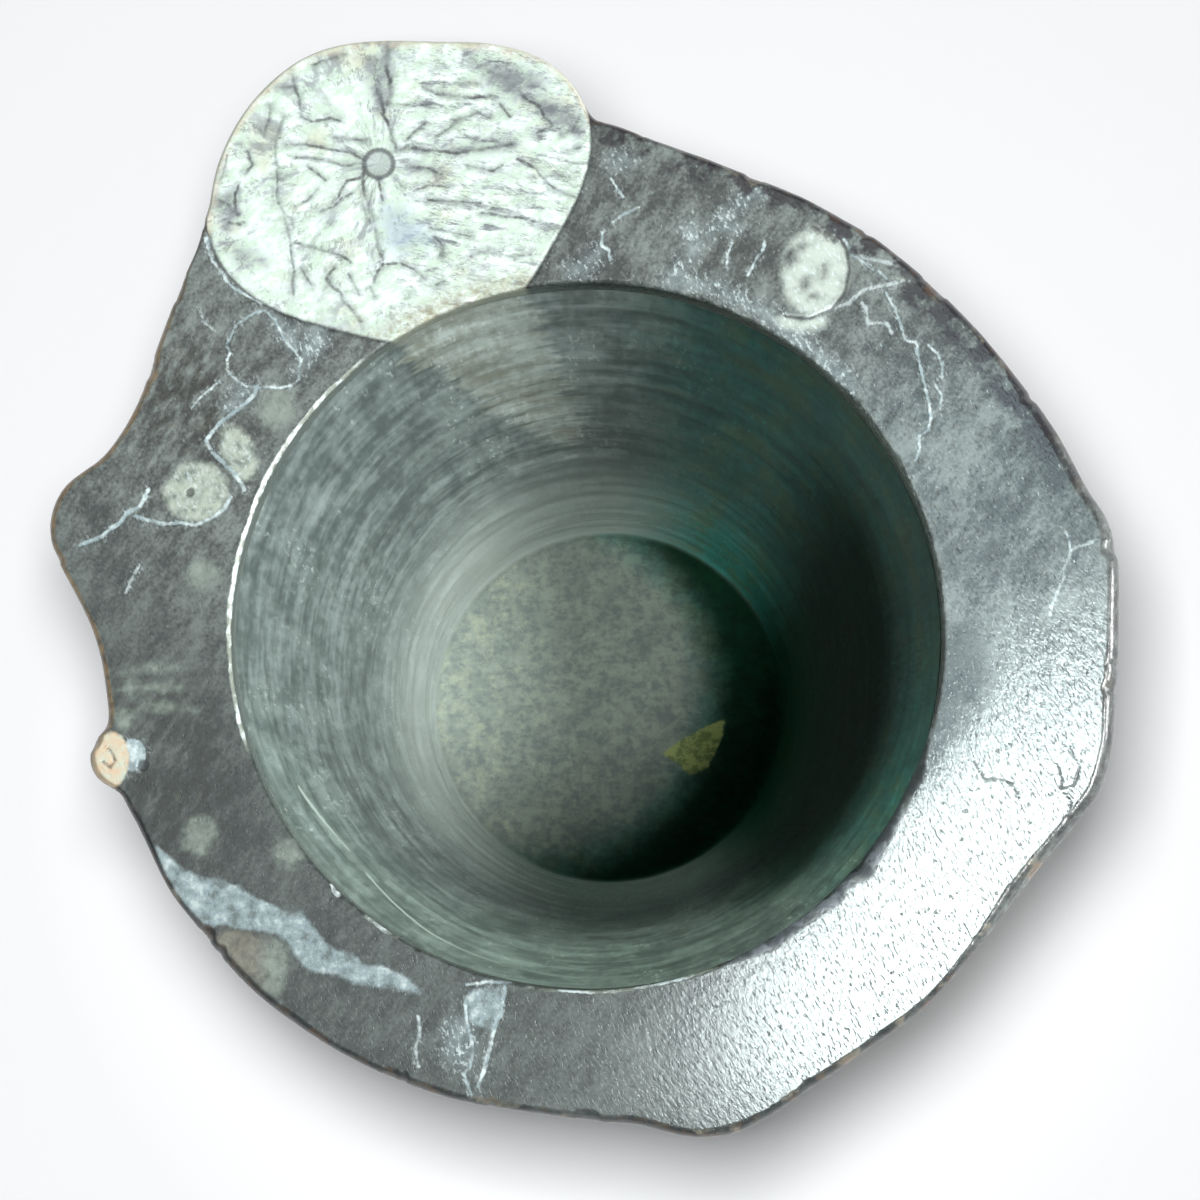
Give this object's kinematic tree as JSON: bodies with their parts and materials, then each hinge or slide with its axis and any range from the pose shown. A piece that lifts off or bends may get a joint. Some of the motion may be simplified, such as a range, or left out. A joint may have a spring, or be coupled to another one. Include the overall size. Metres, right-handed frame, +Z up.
{
  "type": "orthoceras fossil stone pot",
  "caption": "Free-standing pot drilled from one block of dark fossil limestone, its flat polished rim cut across a large pale straight-shelled fossil.",
  "frame": {"origin": "middle of the footprint box, on the plane that the pot stands on", "axes": "+Z up along the bore, out of its mouth; +Y towards the side where the great fossil stands, +X to the right when it is seen from -Y"},
  "size_m": [0.154, 0.1594, 0.2],
  "materials": {
    "orthoceras_limestone": "polished rim with white veins and pale fossil sections, turned bore, part-polished and weathered outer wall"
  },
  "bodies": {
    "root": {"fossil_stone_pot": "orthoceras_limestone"}
  },
  "joints": []
}
